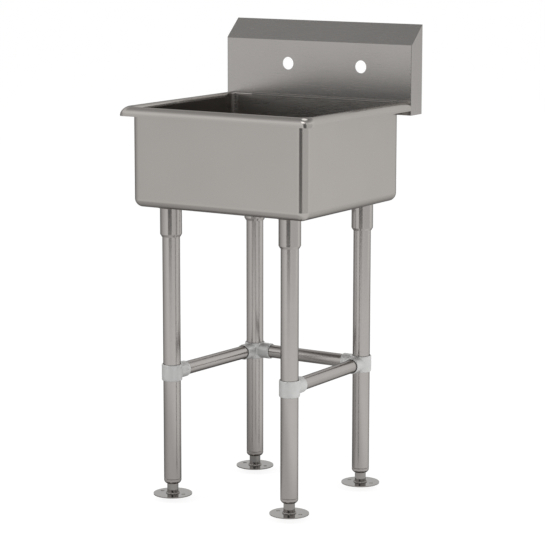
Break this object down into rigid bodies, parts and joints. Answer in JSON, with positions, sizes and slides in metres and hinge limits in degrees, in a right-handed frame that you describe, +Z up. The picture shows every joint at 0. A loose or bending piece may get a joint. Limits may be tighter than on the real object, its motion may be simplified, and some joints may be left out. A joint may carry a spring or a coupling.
{
  "type": "utility laundry sink",
  "caption": "Freestanding stainless steel utility sink: square bowl with a rolled rim, folded backsplash with faucet holes, tube legs, bracing rails and levelling flanged feet.",
  "frame": {"origin": "on the floor, below the middle of the sink's bounding box", "axes": "+X to the right as seen by the user, +Y from the user towards the wall, +Z up"},
  "size_m": [0.5178, 0.5124, 1.1005],
  "materials": {
    "bowl_steel": "satin stainless steel, welded and polished",
    "backsplash_steel": "satin stainless steel, folded",
    "socket_steel": "satin stainless steel, turned",
    "tube_steel": "satin stainless steel tube",
    "foot_steel": "bright stainless steel",
    "cast_fitting": "cast aluminium, finely blasted",
    "screw_steel": "plain stainless steel",
    "drain_steel": "polished stainless steel",
    "black_rubber": "matt black rubber",
    "fibre": "pressed fibre"
  },
  "bodies": {
    "root": {"sink_bowl": "bowl_steel", "backsplash": "backsplash_steel", "leg_socket_front_left": "socket_steel", "leg_socket_front_right": "socket_steel", "leg_socket_rear_left": "socket_steel", "leg_socket_rear_right": "socket_steel", "leg_tube_front_left": "tube_steel", "leg_tube_front_right": "tube_steel", "leg_tube_rear_left": "tube_steel", "leg_tube_rear_right": "tube_steel", "leg_insert_front_left": "tube_steel", "leg_insert_front_right": "tube_steel", "leg_insert_rear_left": "tube_steel", "leg_insert_rear_right": "tube_steel", "tee_fitting_front_left": "cast_fitting", "tee_fitting_front_right": "cast_fitting", "corner_fitting_rear_left": "cast_fitting", "corner_fitting_rear_right": "cast_fitting", "side_rail_left": "tube_steel", "side_rail_right": "tube_steel", "rear_rail": "tube_steel", "socket_set_screws": "screw_steel", "fitting_set_screws": "screw_steel", "drain_body": "drain_steel", "drain_gasket": "black_rubber", "drain_washer": "fibre", "drain_locknut": "cast_fitting"},
    "foot_front_left": {"foot_flange_front_left": "foot_steel", "foot_stud_front_left": "foot_steel"},
    "foot_front_right": {"foot_flange_front_right": "foot_steel", "foot_stud_front_right": "foot_steel"},
    "foot_rear_left": {"foot_flange_rear_left": "foot_steel", "foot_stud_rear_left": "foot_steel"},
    "foot_rear_right": {"foot_flange_rear_right": "foot_steel", "foot_stud_rear_right": "foot_steel"},
    "strainer": {"strainer_basket": "drain_steel", "basket_post": "drain_steel", "basket_stopper": "black_rubber"}
  },
  "joints": [
    {"name": "foot_front_left_level", "type": "slide", "parent": "root", "child": "foot_front_left", "axis": [0, 0, 1], "range_m": [-0.0127, 0.0127]},
    {"name": "foot_front_right_level", "type": "slide", "parent": "root", "child": "foot_front_right", "axis": [0, 0, 1], "range_m": [-0.0127, 0.0127]},
    {"name": "foot_rear_left_level", "type": "slide", "parent": "root", "child": "foot_rear_left", "axis": [0, 0, 1], "range_m": [-0.0127, 0.0127]},
    {"name": "foot_rear_right_level", "type": "slide", "parent": "root", "child": "foot_rear_right", "axis": [0, 0, 1], "range_m": [-0.0127, 0.0127]},
    {"name": "strainer_lift", "type": "slide", "parent": "root", "child": "strainer", "axis": [0, 0, 1], "range_m": [0, 0.06]}
  ]
}
